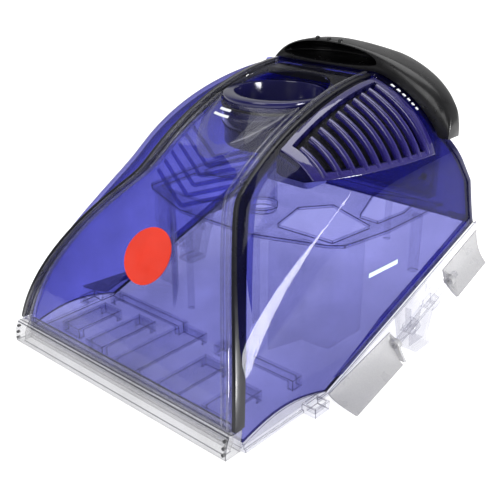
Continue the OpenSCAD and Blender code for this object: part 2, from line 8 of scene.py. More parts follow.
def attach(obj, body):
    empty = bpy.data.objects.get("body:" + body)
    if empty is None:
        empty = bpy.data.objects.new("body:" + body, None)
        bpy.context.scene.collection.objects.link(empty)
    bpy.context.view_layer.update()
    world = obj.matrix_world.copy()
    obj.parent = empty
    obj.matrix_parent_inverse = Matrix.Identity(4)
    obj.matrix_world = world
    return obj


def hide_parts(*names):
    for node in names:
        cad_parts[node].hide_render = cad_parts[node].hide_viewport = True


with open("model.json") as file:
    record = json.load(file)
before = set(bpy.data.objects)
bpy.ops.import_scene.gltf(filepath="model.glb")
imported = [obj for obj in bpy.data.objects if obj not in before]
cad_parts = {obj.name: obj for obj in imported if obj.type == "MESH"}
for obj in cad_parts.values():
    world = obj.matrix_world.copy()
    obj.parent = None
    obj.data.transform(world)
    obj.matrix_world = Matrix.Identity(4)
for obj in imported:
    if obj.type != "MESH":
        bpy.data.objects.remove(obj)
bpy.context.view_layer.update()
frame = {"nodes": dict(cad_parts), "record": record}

# ---------------------------------------------------------------- shape formulas, as in the CAD, in mm
Y_LIP, Y_TOP, TOP_H, REAR_Y = 8, 280, 224, 344
HALF_LIP, WINDOW_HALF, SIDE_HALF, CORNER_H, SHOULDER_Z = 130, 54, 131, 155, 150
WALL, GLASS, RAMP_D, RAMP_T, SEAL_W, SEAL_T = 3, 2.5, 9, 2.5, 3.2, 1.5
REAR_MID, TOP_REAR = (329, 128), (283, 184)
FLAT_END, RIM_Z, SLOPE, ROD_X, ROD_DROP = 116, 3, 0.35, 145, 14
PORT_Y, PORT_Z, PORT_R, BORE_R, BORE_SHIFT, CUP_FLOOR = 205, 212, 46, 39, 4.5, 168
GRILLE_X, GRILLE_Y, GRILLE_Z = 62, (138, 264), 167
EDGE_BACK, LIP_H = 268, 19
DEPTH = 360
ARC_POWER, ARC_SLOPE_POWER, EDGE_POWER, SHOULDER_POWER = 1.18, 0.18, 1.9, 0.71
BLEND = 3                       # length over which the window's edge turns from slanted to upright
ARCH_RISE = 11                  # of the rim over the front of the tray
MM = 0.001
ACROSS = 200                    # half-length of a cutter that goes right across the machine


def arc(u):
    """Point (y, z) of the front curve of the window, u from 0 at the lip to 90 degrees at the top."""
    u = radians(u)
    return Y_TOP - (Y_TOP - Y_LIP) * cos(u), TOP_H * max(sin(u), 0) ** ARC_POWER


def arc_normal(u):
    """Unit normal of the front curve, pointing out."""
    u = radians(u)
    dy = (Y_TOP - Y_LIP) * sin(u)
    dz = TOP_H * ARC_POWER * max(sin(u), 0.01) ** ARC_SLOPE_POWER * cos(u)
    n = sqrt(dy * dy + dz * dz)
    return -dz / n, dy / n


def front(u, d):
    """Point of the front curve moved inward by d."""
    a, n = arc(u), arc_normal(u)
    return a[0] - d * n[0], a[1] - d * n[1]


def arc_u(z):
    """The u at which the front curve has the height z."""
    return degrees(asin(min(1, (z / TOP_H) ** (1 / ARC_POWER))))


def window_x(z):
    """Half-width of the window at height z."""
    e = HALF_LIP - (HALF_LIP - WINDOW_HALF) * (max(z, 0) / CORNER_H) ** EDGE_POWER
    return WINDOW_HALF + BLEND * log(1 + exp((e - WINDOW_HALF) / BLEND))


def shoulder_x(z):
    """Half-width of the hood at height z."""
    if z < SHOULDER_Z:
        return SIDE_HALF + 3 * max(0, 1 - z / 100)
    k = max(0, 1 - ((z - SHOULDER_Z) / (TOP_H - SHOULDER_Z)) ** 2)
    return WINDOW_HALF + 1 + (SIDE_HALF - WINDOW_HALF - 1) * k ** SHOULDER_POWER


def rim(y):
    """Height of the sloping joint between hood and tray."""
    return RIM_Z + max(0, y - FLAT_END) * SLOPE


def rim_arch(y):
    """Height of the hood's lower edge over the front part, where it is arched."""
    turn = radians(180 * (y - Y_LIP) / (FLAT_END - Y_LIP))
    return RIM_Z + SEAL_T + ARCH_RISE * max(0, sin(turn))


def steps(a, b, n):
    return [a + (b - a) * i / n for i in range(n + 1)]


# ---------------------------------------------------------------- mesh tools
def add_object(name, data):
    ob = bpy.data.objects.new(name, data)
    bpy.context.scene.collection.objects.link(ob)
    return ob


def make(name, verts, faces):
    """Mesh object from points in the CAD's millimetres."""
    me = bpy.data.meshes.new(name)
    me.from_pydata([(x * MM, (y - DEPTH / 2) * MM, z * MM) for x, y, z in verts], [], faces)
    ob = add_object(name, me)
    bm = bmesh.new()
    bm.from_mesh(me)
    bmesh.ops.recalc_face_normals(bm, faces=bm.faces)
    bm.to_mesh(me)
    bm.free()
    return ob


def loft(name, rows, caps=True):
    """Skin over rows of points, each row a closed ring."""
    n = len(rows[0])
    verts = [p for r in rows for p in r]
    faces = [(i * n + j, i * n + (j + 1) % n, (i + 1) * n + (j + 1) % n, (i + 1) * n + j)
             for i in range(len(rows) - 1) for j in range(n)]
    if caps:
        faces += [tuple(range(n - 1, -1, -1)), tuple(range((len(rows) - 1) * n, len(rows) * n))]
    return make(name, verts, faces)


ON_AXIS = {"x": lambda t, p: (t, p[0], p[1]), "y": lambda t, p: (p[0], t, p[1]),
           "z": lambda t, p: (p[0], p[1], t)}


def prism(axis, a, b, outline, name):
    """Outline drawn out along an axis from a to b."""
    return loft(name, [[ON_AXIS[axis](t, p) for p in outline] for t in (a, b)])


def across(outline, name):
    return prism("x", -ACROSS, ACROSS, outline, name)


def box(a, b):
    return prism("z", a[2], b[2], [(a[0], a[1]), (b[0], a[1]), (b[0], b[1]), (a[0], b[1])], "box")


def lathe(name, profile, centre, n):
    """Closed ring from (r, z) points around Z at centre (x, y)."""
    rows = []
    for i in range(n):
        a = radians(360 * i / n)
        rows.append([(centre[0] + r * cos(a), centre[1] + r * sin(a), z) for r, z in profile])
    rows.append(rows[0])
    ob = loft(name, rows, caps=False)
    weld(ob)
    return ob


def weld(ob):
    bm = bmesh.new()
    bm.from_mesh(ob.data)
    bmesh.ops.remove_doubles(bm, verts=bm.verts, dist=1e-6)
    bmesh.ops.recalc_face_normals(bm, faces=bm.faces)
    bm.to_mesh(ob.data)
    bm.free()


def boolean(a, b, op, index=0):
    """a changed by b, which is used up; faces left by b get its material index."""
    for ob in (a, b):
        while len(ob.data.materials) < 2:
            spare = "slot%d" % len(ob.data.materials)
            ob.data.materials.append(bpy.data.materials.get(spare) or bpy.data.materials.new(spare))
    for p in b.data.polygons:
        p.material_index = index
    m = a.modifiers.new("cut", "BOOLEAN")
    m.operation, m.object, m.solver = op, b, "MANIFOLD"
    me = bpy.data.meshes.new_from_object(a.evaluated_get(bpy.context.evaluated_depsgraph_get()))
    a.modifiers.clear()
    if len(me.polygons) == 0:
        print("EMPTY RESULT", a.name, op, b.name)
    old = a.data
    a.data = me
    bpy.data.meshes.remove(old)
    bpy.data.objects.remove(b)
    return a


def cut(a, b, index=0):
    return boolean(a, b, "DIFFERENCE", index)


def meet(a, b, index=0):
    return boolean(a, b, "INTERSECT", index)


def join(name, parts):
    """One object from several meshes, kept as separate shells."""
    bm = bmesh.new()
    for p in parts:
        bm.from_mesh(p.data)
        bpy.data.objects.remove(p)
    me = bpy.data.meshes.new(name)
    bm.to_mesh(me)
    bm.free()
    return add_object(name, me)


def mirrored(ob):
    """A copy on the other side of the middle plane."""
    me = ob.data.copy()
    me.transform(Matrix.Scale(-1, 4, (1, 0, 0)))
    me.flip_normals()
    return add_object(ob.name + "_m", me)


def finish(ob, name, mats, body="tank", replaces=(), bevel=0.0, angle=32, segments=2,
           lines=False):
    """Name, materials, rounded edges (lines: in the last material) and what the frame has to know."""
    ob.name = name
    ob.data.name = name
    mats = mats if isinstance(mats, (list, tuple)) else [mats]
    index = [p.material_index for p in ob.data.polygons]
    ob.data.materials.clear()
    for m in mats:
        ob.data.materials.append(m)
    for p, i in zip(ob.data.polygons, index):
        p.material_index = min(i, len(mats) - 1)
    if bevel:
        m = ob.modifiers.new("bevel", "BEVEL")
        m.width, m.segments, m.limit_method, m.angle_limit = bevel * MM, segments, "ANGLE", radians(38)
        m.use_clamp_overlap = True
        if lines:
            m.material = len(mats) - 1
        me = bpy.data.meshes.new_from_object(ob.evaluated_get(bpy.context.evaluated_depsgraph_get()))
        ob.modifiers.clear()
        ob.data = me
    ob.data.polygons.foreach_set("use_smooth", [True] * len(ob.data.polygons))
    ob.data.set_sharp_from_angle(angle=radians(angle))
    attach(ob, body)
    if replaces:
        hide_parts(*replaces)
    return ob


def edged(node, mats, bevel, body="tank", angle=32):
    """A CAD node again, with rounded edges in the last material, a darker tint: partly the thicker
    plastic seen edge on, partly painted shade for the dark lines that refraction gives at clear edges.
    """
    bm = bmesh.new()
    bm.from_mesh(frame["nodes"][node].data)
    bmesh.ops.remove_doubles(bm, verts=bm.verts, dist=2e-6)
    bmesh.ops.dissolve_limit(bm, angle_limit=radians(0.8), verts=bm.verts, edges=bm.edges)
    me = bpy.data.meshes.new(node)
    bm.to_mesh(me)
    bm.free()
    for p in me.polygons:
        p.material_index = 0
    return finish(add_object(node, me), node + "_edged", mats, body, [node], bevel, angle,
                  lines=len(mats) > 1)


# ---------------------------------------------------------------- materials
MIX_A, MIX_B, MIX_RESULT = 6, 7, 2          # colour sockets of the mix node


class Nodes:
    """Short calls for building a node tree."""
    def __init__(self, tree):
        self.tree = tree
        self.coord = self.add("ShaderNodeTexCoord")

    def add(self, kind, **values):
        n = self.tree.nodes.new(kind)
        for k, v in values.items():
            if hasattr(n, k):
                setattr(n, k, v)
            else:
                n.inputs[k.replace("_", " ")].default_value = v
        return n

    def link(self, a, b):
        self.tree.links.new(a, b)

    def feed(self, value, socket):
        if hasattr(value, "links"):
            self.link(value, socket)
        else:
            socket.default_value = value

    def math(self, op, *operands):
        n = self.add("ShaderNodeMath", operation=op)
        for i, v in enumerate(operands):
            self.feed(v, n.inputs[i])
        return n.outputs[0]

    def noise(self, scale, detail=3.0):
        n = self.add("ShaderNodeTexNoise", Scale=scale, Detail=detail, Roughness=0.5)
        self.link(self.coord.outputs["Object"], n.inputs["Vector"])
        return n.outputs["Fac"]

    def span(self, fac, low, high):
        """The middle of a noise's range spread from low to high."""
        n = self.add("ShaderNodeMapRange", From_Min=0.3, From_Max=0.7, To_Min=low, To_Max=high)
        self.link(fac, n.inputs["Value"])
        return n.outputs["Result"]

    def blend(self, fac, a, b):
        n = self.add("ShaderNodeMix", data_type="RGBA")
        self.link(fac, n.inputs[0])
        for colour, i in ((a, MIX_A), (b, MIX_B)):
            self.feed(colour if hasattr(colour, "links") else (*colour, 1), n.inputs[i])
        return n.outputs[MIX_RESULT]

    def bump(self, height, strength, distance):
        n = self.add("ShaderNodeBump", Strength=strength, Distance=distance)
        self.link(height, n.inputs["Height"])
        return n.outputs["Normal"]

    def mix_shader(self, fac, a, b):
        n = self.add("ShaderNodeMixShader")
        for value, i in ((fac, 0), (a.outputs[0], 1), (b.outputs[0], 2)):
            self.feed(value, n.inputs[i])
        return n


class Surface(Nodes):
    """Node tree of a new material, empty but for its output."""
    def __init__(self, name):
        self.mat = bpy.data.materials.new(name)
        self.mat.use_nodes = True
        self.mat.node_tree.nodes.clear()
        super().__init__(self.mat.node_tree)
        self.out = self.add("ShaderNodeOutputMaterial")

    def close(self, shader):
        self.link(shader.outputs[0], self.out.inputs["Surface"])
        return self.mat


def clear_plastic(name, tint, edge, haze=0.03, body=(0.5, 0.5, 0.5), rough=0.05, gloss=1.0, wave=0.06,
                  power=2.2):
    """Thin moulded plastic that lets what is behind it show.

    Light that goes through takes the tint, or the edge colour where it is seen at a slant. The
    haze is the share of the body colour. The reflection rises towards grazing angles as in a
    real dielectric, scaled by gloss; wave is how uneven the surface is."""
    m = Surface(name)
    broad, fine = m.noise(22), m.noise(900, 2)
    facing = m.add("ShaderNodeLayerWeight", Blend=0.5).outputs["Facing"]
    light = m.blend(m.span(broad, 0, 1), tint, [c * 0.93 for c in tint])
    through = m.add("ShaderNodeBsdfTransparent")
    m.link(m.blend(m.math("POWER", facing, power), light, edge), through.inputs["Color"])
    scatter = m.add("ShaderNodeBsdfPrincipled", Roughness=0.4)
    m.link(m.blend(m.span(fine, 0, 1), body, [c * 0.85 for c in body]), scatter.inputs["Base Color"])
    shine = m.add("ShaderNodeBsdfGlossy", Color=(1, 1, 1, 1))
    m.link(m.span(m.noise(60), rough * 0.7, rough * 1.4), shine.inputs["Roughness"])
    m.link(m.bump(broad, wave, 0.0006), shine.inputs["Normal"])
    schlick = m.math("MULTIPLY_ADD", m.math("POWER", facing, 5.0), 0.85 * gloss, 0.04 * gloss)
    return m.close(m.mix_shader(schlick, m.mix_shader(haze, through, scatter), shine))


def solid_plastic(name, colour, rough, grain=700, bump=0.05, coat=0.0, metallic=0.0):
    m = Surface(name)
    p = m.add("ShaderNodeBsdfPrincipled", Metallic=metallic, IOR=1.5, Coat_Weight=coat,
              Coat_Roughness=0.08)
    patches = m.span(m.noise(35), 0, 1)
    m.link(m.blend(patches, colour, [c * 0.88 for c in colour]), p.inputs["Base Color"])
    m.link(m.span(m.noise(90), rough * 0.8, rough * 1.25), p.inputs["Roughness"])
    m.link(m.bump(m.noise(grain, 2), bump, 0.0003), p.inputs["Normal"])
    return m.close(p)


def foam(name, dark, light, scale=900):
    m = Surface(name)
    p = m.add("ShaderNodeBsdfPrincipled")
    v = m.add("ShaderNodeTexVoronoi", Scale=scale)
    m.link(m.coord.outputs["Object"], v.inputs["Vector"])
    pores = m.math("MULTIPLY", v.outputs["Distance"], m.noise(scale * 0.8, 2))
    m.link(m.blend(m.span(pores, 0, 1), dark, light), p.inputs["Base Color"])
    m.link(m.span(m.noise(200), 0.8, 0.95), p.inputs["Roughness"])
    m.link(m.bump(v.outputs["Distance"], 0.8, 0.001), p.inputs["Normal"])
    return m.close(p)


VIOLET = clear_plastic(
    "violet_clear", tint=(0.585, 0.59, 0.875), edge=(0.15, 0.14, 0.44), haze=0.012,
    body=(0.16, 0.14, 0.60), rough=0.04, gloss=0.42, wave=0.0)
VIOLET_DEEP = clear_plastic(
    "violet_deep", tint=(0.24, 0.24, 0.56), edge=(0.06, 0.05, 0.30), haze=0.02,
    body=(0.06, 0.05, 0.38), rough=0.06, gloss=0.4, wave=0.0)
# The *_EDGE materials are dark tints for rounded and cut edges, bands and flanges: partly the thicker
# plastic seen edge on, partly painted shade for the dark lines that refraction gives at the edges of
# clear plastic.
VIOLET_EDGE = clear_plastic(
    "violet_edge", tint=(0.08, 0.07, 0.32), edge=(0.02, 0.02, 0.12), haze=0.20,
    body=(0.02, 0.017, 0.15), rough=0.08, gloss=0.9)
RIM = clear_plastic(
    "violet_rim", tint=(0.40, 0.40, 0.84), edge=(0.05, 0.05, 0.40), haze=0.12,
    body=(0.05, 0.05, 0.42), rough=0.06)
CUP = solid_plastic("cup_navy", (0.014, 0.013, 0.075), 0.14, coat=0.5)
GRILLE = clear_plastic(
    "grille_violet", tint=(0.18, 0.14, 0.52), edge=(0.03, 0.02, 0.16), haze=0.45,
    body=(0.030, 0.018, 0.25), rough=0.06, gloss=2.4)
CLEAR = clear_plastic(
    "window_clear", tint=(0.985, 0.985, 0.995), edge=(0.62, 0.62, 0.80), haze=0.0,
    body=(0.9, 0.9, 0.95), rough=0.03, gloss=0.55, wave=0.0, power=3.0)
CLEAR_EDGE = clear_plastic(
    "window_edge", tint=(0.90, 0.90, 0.96), edge=(0.22, 0.22, 0.36), haze=0.04,
    body=(0.88, 0.88, 0.95), rough=0.05, gloss=2.0)
LIP = clear_plastic(
    "lip_clear", tint=(0.93, 0.93, 0.935), edge=(0.60, 0.60, 0.62), haze=0.20,
    body=(0.74, 0.74, 0.75), rough=0.08, gloss=0.9, power=3.0)
LIP_EDGE = clear_plastic(
    "lip_edge", tint=(0.22, 0.22, 0.25), edge=(0.08, 0.08, 0.11), haze=0.06,
    body=(0.5, 0.5, 0.52), rough=0.06, gloss=1.8)
TRAY = clear_plastic(
    "tray_clear", tint=(0.97, 0.97, 0.98), edge=(0.66, 0.66, 0.74), haze=0.01,
    body=(0.85, 0.85, 0.9), rough=0.05, gloss=0.6, power=3.0)
TRAY_EDGE = clear_plastic(
    "tray_edge", tint=(0.34, 0.34, 0.40), edge=(0.14, 0.14, 0.20), haze=0.08,
    body=(0.6, 0.6, 0.66), rough=0.08, gloss=1.2)
INNER = clear_plastic(
    "inner_clear", tint=(0.97, 0.97, 0.99), edge=(0.70, 0.70, 0.86), haze=0.0,
    body=(0.3, 0.3, 0.5), rough=0.05, gloss=0.6, power=3.5)
INNER_EDGE = clear_plastic(
    "inner_edge", tint=(0.10, 0.10, 0.24), edge=(0.04, 0.04, 0.14), haze=0.05,
    body=(0.08, 0.08, 0.20), rough=0.08, gloss=0.7)
FROST = clear_plastic(
    "frosted", tint=(0.82, 0.815, 0.825), edge=(0.55, 0.55, 0.57), haze=0.50,
    body=(0.50, 0.50, 0.51), rough=0.30)
FROST_EDGE = clear_plastic(
    "frosted_edge", tint=(0.50, 0.50, 0.51), edge=(0.22, 0.22, 0.25), haze=0.30,
    body=(0.70, 0.70, 0.71), rough=0.15, gloss=1.2)
BLACK = solid_plastic("black_gloss", (0.010, 0.010, 0.011), 0.30, grain=160, bump=0.02, coat=0.2)
# Darker than black_gloss, for the faces of the handle's finger scoop: painted shade in the recess.
BLACK_SCOOP_SHADE = solid_plastic("black_scoop_painted_shade", (0.005, 0.005, 0.006), 0.22, grain=160, bump=0.02)
RUBBER = solid_plastic("seal_rubber", (0.007, 0.007, 0.012), 0.30, bump=0.02, coat=0.15)
FOAM = foam("foam", (0.006, 0.006, 0.008), (0.07, 0.06, 0.09))
FLOAT = foam("float_foam", (0.55, 0.55, 0.54), (0.75, 0.75, 0.74), 600)
STEEL = solid_plastic("steel", (0.60, 0.60, 0.62), 0.25, metallic=1.0, grain=300)
PIN = solid_plastic("dark_pin", (0.03, 0.03, 0.035), 0.4)
WHITE = solid_plastic("white_print", (0.80, 0.82, 0.84), 0.5)
PALE = solid_plastic("level_print", (0.50, 0.62, 0.68), 0.5)
RED = solid_plastic("red_print", (0.78, 0.035, 0.012), 0.4)

SLOT_MATERIAL = {
    "violet_clear": VIOLET, "violet_deep": VIOLET_DEEP, "cup_navy": CUP, "grille_violet": GRILLE,
    "window_clear": CLEAR, "lip_clear": LIP, "tray_clear": TRAY, "frosted": FROST, "black_gloss": BLACK,
    "seal_rubber": RUBBER, "foam": FOAM, "float_foam": FLOAT, "steel": STEEL, "dark_pin": PIN,
    "white_print": WHITE, "red_print": RED}
for part in frame["record"]["subparts"]:
    ob = frame["nodes"][part["node"]]
    ob.data.materials.clear()
    ob.data.materials.append(SLOT_MATERIAL[part["material_slot"]])
frame["nodes"]["full_level_mark"].data.materials[0] = PALE


# ---------------------------------------------------------------- hood
def hood_row(u, t, low=0.0):
    """Line round the hood at u: left side, front, right side; low is how far it is drawn down."""
    p, z = front(u, t), arc(u)[1]
    w = window_x(z) - t / 2
    s = max(w + 0.2, shoulder_x(z) - t)
    side = [(w + (s - w) * sin(radians(q)), Y_TOP - (Y_TOP - p[0]) * cos(radians(q)), p[1] - low)
            for q in steps(0, 90, 22)]
    return ([(-s, REAR_Y + 20, p[1] - low)] + [(-x, y, z) for x, y, z in reversed(side)] + side
            + [(s, REAR_Y + 20, p[1] - low)])


def rear_profile(t):
    """The hood's back as seen from the side, from bottom to top, moved inward by t."""
    return [(REAR_Y - t, -20), (REAR_Y - t, 76), (REAR_MID[0] - t, REAR_MID[1]),
            (TOP_REAR[0] - t, TOP_REAR[1] - t / 2), (TOP_REAR[0] - t, 300)]


def open_hood(t):
    """Front, top and sides of the hood as a solid that reaches out behind, moved inward by t."""
    return loft("hood", [hood_row(0, t, 10)] + [hood_row(u, t) for u in steps(0, 90, 72)])


def hood_form(t):
    """The hood as a solid, its surface moved inward by t."""
    return meet(open_hood(t), across([(-20, -20)] + rear_profile(t) + [(-20, 300)], "prism"))


def front_line(d):
    """The front curve at depth d, drawn out beyond both ends."""
    return [(front(0, d)[0], -30)] + [front(u, d) for u in steps(0, 90, 60)] + [(400, TOP_H - d)]


def layer(d0, d1):
    """Slab along the front curve between the depths d0 and d1."""
    return across(front_line(d0) + front_line(d1)[::-1], "layer")


EDGE_Z = [-20] + steps(0, 130, 26) + steps(132, 170, 19) + [180, 260]


def window_cut(m):
    """Prism of the window's outline as seen from the front, narrower by m on each side."""
    right = [(window_x(z) - m, z) for z in EDGE_Z]
    return prism("y", -80, 420, right + [(-x, z) for x, z in right[::-1]], "window_cut")


def window_layer(d0, d1, m):
    return meet(layer(d0, d1), window_cut(m))


def below_rim():
    """All that lies below the hood's lower edge."""
    line = [(-20, -20), (-20, rim_arch(Y_LIP))] + [(y, rim_arch(y)) for y in steps(Y_LIP, FLAT_END, 24)]
    return across(line + [(400, rim(400) + SEAL_T), (400, -20)], "below")


def cylinder(axis, centre, r, a, b, n=96):
    pts = [(centre[0] + r * cos(radians(q)), centre[1] + r * sin(radians(q)))
           for q in steps(0, 360, n)[:-1]]
    return prism(axis, a, b, pts, "cylinder")


def port_hole():
    return cylinder("z", (0, PORT_Y), PORT_R + 1.5, 130, 260)


def grille_zone(m):
    """Box round the grille's place on the right shoulder, larger by m."""
    return box((GRILLE_X - m, GRILLE_Y[0] - m, GRILLE_Z - m),
               (GRILLE_X + 100, GRILLE_Y[1] + m, GRILLE_Z + 100))


hood = hood_form(0)
cavity = hood_form(WALL)
ramp = cut(window_layer(-5, RAMP_D + RAMP_T, -SEAL_W - RAMP_T),
           box((-ACROSS, Y_TOP - 1, 0), (ACROSS, 600, 300)))
hood = cut(hood, cut(cavity, ramp))
recess = cut(window_layer(-5, RAMP_D, -SEAL_W), box((-ACROSS, Y_TOP - 8, 0), (ACROSS, 600, 300)))
hood = cut(hood, recess)
hood = meet(hood, across([(-60, -40)] + rear_profile(WALL + 0.2) + [(-60, 300)], "rear"), 1)
hood = cut(hood, below_rim(), 1)
hood = cut(hood, port_hole(), 1)
hood = cut(hood, grille_zone(0.3), 1)
finish(hood, "hood_shell", [VIOLET, VIOLET_EDGE], replaces=["tank_hood"], angle=30)

# ---------------------------------------------------------------- nozzle window, its ridges and seals
glass = window_layer(0, GLASS, 1)
glass = cut(glass, box((-ACROSS, -50, -50), (ACROSS, 50, LIP_H)), 1)
glass = cut(glass, box((-ACROSS, Y_TOP - 10, 0), (ACROSS, Y_TOP + 200, 300)), 1)
glass = cut(glass, port_hole(), 1)
finish(glass, "nozzle_window", [CLEAR, CLEAR_EDGE], replaces=["front_nozzle"],
       bevel=0.4)


def edge_bar(m0, m1, d0, d1, y1):
    """Bar along the window's right edge: m inward from the edge, d in depth, back as far as y1."""
    bar = meet(layer(d0, d1), cut(window_cut(m0), window_cut(m1)))
    return meet(bar, box((0, -20, LIP_H + 1.5), (200, y1, 300)))


bars = [edge_bar(2, 4.5, -3, 0, EDGE_BACK), edge_bar(9, 11, -2, 0, 182),
        edge_bar(3, 5, GLASS, RAMP_D - 0.2, EDGE_BACK)]
bars += [mirrored(b) for b in bars]
finish(join("ridges", bars), "window_ridges", CLEAR_EDGE,
       replaces=["nozzle_ridges"], bevel=0.5)
seal = edge_bar(-SEAL_W + 0.2, 0.6, -1.2, RAMP_D - 0.2, EDGE_BACK)
for ob, side in ((mirrored(seal), "left"), (seal, "right")):
    finish(ob, "edge_seal_" + side, RUBBER, replaces=["nozzle_seal_" + side],
           bevel=0.7)

# ---------------------------------------------------------------- dark bands on the hood, their dark tint partly painted shade
BAND_H = 6.8
band = meet(hood_form(-0.9), across(rear_profile(-0.4) + rear_profile(4.4)[::-1], "band"))
band = cut(cut(band, open_hood(3.5)), below_rim())
finish(band, "hood_rear_band", VIOLET_EDGE, bevel=0.4)
low = [(y, rim_arch(y) + 0.1) for y in steps(Y_LIP + 10, FLAT_END, 24)]
low += [(REAR_Y - 5, rim(REAR_Y - 5) + SEAL_T + 0.1)]
band = meet(hood_form(-0.7), across(low + [(y, z + BAND_H) for y, z in low[::-1]], "band"))
band = cut(band, hood_form(WALL + 0.6))
band = cut(band, window_cut(-SEAL_W - 1))
finish(band, "hood_rim_band", [RIM, VIOLET_EDGE], bevel=0.6, lines=True)
boss = lathe("boss", [(0, 0), (3.6, 0), (3.6, 2.2), (2.9, 3.2), (1.5, 3.8), (0, 4)], (-60, 268), 32)
boss.data.transform(Matrix.Translation((0, 0, 0.2215)))     # up onto the hood's top
finish(join("bosses", [mirrored(boss), boss]), "pivot_bosses", VIOLET,
       angle=50)

# ---------------------------------------------------------------- port
cone = [(91, 170), (PORT_R + 4.2, PORT_Z - 6.2), (PORT_R + 2.2, PORT_Z - 4.4),
        (PORT_R + 1.6, PORT_Z - 4.4), (PORT_R + 1.6, PORT_Z - 8), (88.4, 170)]
collar = lathe("collar", cone, (0, PORT_Y), 160)
collar = cut(collar, across(front_line(-0.15) + [(400, -30)], "front"), 1)
collar = cut(collar, box((WINDOW_HALF - 1, -1, 0), (154, 399, 300)), 1)
collar = cut(collar, box((-154, -1, 0), (1 - WINDOW_HALF, 399, 300)), 1)
finish(collar, "port_cone", [CLEAR, CLEAR_EDGE], replaces=["port_collar"],
       bevel=0.5, lines=True)

cup = lathe("cup", [(0, CUP_FLOOR), (PORT_R - 1.6, CUP_FLOOR), (PORT_R - 1, CUP_FLOOR + 0.8),
                    (PORT_R - 1, PORT_Z - 5), (PORT_R, PORT_Z - 4.4), (PORT_R, PORT_Z - 1.6),
                    (PORT_R - 0.5, PORT_Z - 0.5), (PORT_R - 1.6, PORT_Z), (0, PORT_Z)],
            (0, PORT_Y), 128)
hollow = [(0, CUP_FLOOR + 3), (34, CUP_FLOOR + 3), (38, CUP_FLOOR + 7), (38, 201), (0, 201)]
cup = cut(cup, lathe("bore", hollow, (0, PORT_Y + 2), 128))
mouth = [(0, 190), (BORE_R, 190), (BORE_R, PORT_Z - 1), (BORE_R + 0.9, PORT_Z + 1), (0, PORT_Z + 1)]
cup = cut(cup, lathe("bore", mouth, (0, PORT_Y + BORE_SHIFT), 128))
cup = cut(cup, cylinder("z", (0, 188), 12, 160, 180, 64))
finish(cup, "cup_body", CUP, "diverter", replaces=["diverter_cup"], bevel=0.3, angle=40)
frame["nodes"]["cup_deflector"].data.materials[0] = CUP

# ---------------------------------------------------------------- filter grille
def shoulder_pt(y, z):
    """Point (x, z) of the hood's right surface at y."""
    f, w = arc(arc_u(z))[0], window_x(z)
    c = min(1, (Y_TOP - y) / max(0.01, Y_TOP - f))
    return w + (shoulder_x(z) - w) * sqrt(max(0, 1 - c * c)), z


def shoulder_out(y, z, d):
    """The same, moved outward by d."""
    p, q = shoulder_pt(y, z), shoulder_pt(y, z + 0.4)
    n = sqrt((q[0] - p[0]) ** 2 + (q[1] - p[1]) ** 2)
    return p[0] + d * (q[1] - p[1]) / n, p[1] - d * (q[0] - p[0]) / n


def crest_z(y):
    """Height of the front curve at y."""
    return arc(degrees(acos((Y_TOP - y) / (Y_TOP - Y_LIP))))[1]


panel = meet(hood_form(-0.8), grille_zone(-0.2))
panel = cut(panel, hood_form(WALL))
opening = box((GRILLE_X + 6, GRILLE_Y[0] + 7, GRILLE_Z + 5),
              (GRILLE_X + 106, GRILLE_Y[1] - 7, GRILLE_Z + 105))
panel = cut(panel, opening, 1)
finish(panel, "grille_frame", [GRILLE, VIOLET_EDGE], "grille_cover",
       replaces=["filter_grille"], bevel=0.5)
SLATS = 10
SLAT_SECTION = [(-2.6, -2.6), (-2.6, 0.4), (-2.1, 1.5), (-1.1, 2.2), (0, 2.5), (1.1, 2.2), (2.1, 1.5),
                (2.6, 0.4), (2.6, -2.6)]


def slat_ring(y, z):
    """Section of a slat, laid on the shoulder."""
    ring = []
    for dy, d in SLAT_SECTION:
        x, z_out = shoulder_out(y, z, d)
        ring.append((x, y + dy, z_out))
    return ring


slats = []
for i in range(SLATS):
    y = GRILLE_Y[0] + 10 + (GRILLE_Y[1] - GRILLE_Y[0] - 20) * i / (SLATS - 1)
    slats.append(loft("slat", [slat_ring(y, z) for z in steps(GRILLE_Z + 2, crest_z(y) - 4.5, 26)]))
finish(join("slats", slats), "grille_slats", GRILLE, "grille_cover",
       replaces=["grille_louvres"], angle=50)
pad = meet(hood_form(WALL + 1.5), grille_zone(-4))
pad = cut(pad, hood_form(WALL + 9))
finish(pad, "filter_pad", FOAM, replaces=["filter_foam"], bevel=0.5)
frame["nodes"]["filter_tray"].data.materials[0] = VIOLET_EDGE

# ---------------------------------------------------------------- carry handle
GRIP_LEFT, GRIP_RIGHT = 60, 133.4           # where its rounded ends finish, from the middle
GRIP_FRONT, GRIP_BACK = 275.5, 328
HANDLE_POWER = 1.408                        # that of the shoulder, turned over
SCOOP_Y, SCOOP_Z, SCOOP_DEPTH = 271, 232, 37
SCOOP_LEFT, SCOOP_RIGHT, SCOOP_UP, SCOOP_DOWN = 50, 57, 13.4, 4.6


def handle_low(x):
    """Height of the handle's underside, just above the shoulder."""
    if x < WINDOW_HALF + 2:
        return TOP_H + 1.5
    k = max(0, 1 - ((x - WINDOW_HALF - 1) / (SIDE_HALF - WINDOW_HALF - 1)) ** HANDLE_POWER)
    return max(178, SHOULDER_Z + 1.5 + (TOP_H - SHOULDER_Z) * k ** 0.5)


def ease(t):
    t = min(1, max(0, t))
    return t * t * (3 - 2 * t)


def handle_top(x):
    """Height of the handle's ridge."""
    if x < 0:
        return 221 + 26.3 * sqrt(max(0, 1 - (x / 61) ** 2))
    return 187 + 60.3 * max(0, 1 - (x / 133.5) ** 1.7) ** 0.48 if x < 133.5 else 187


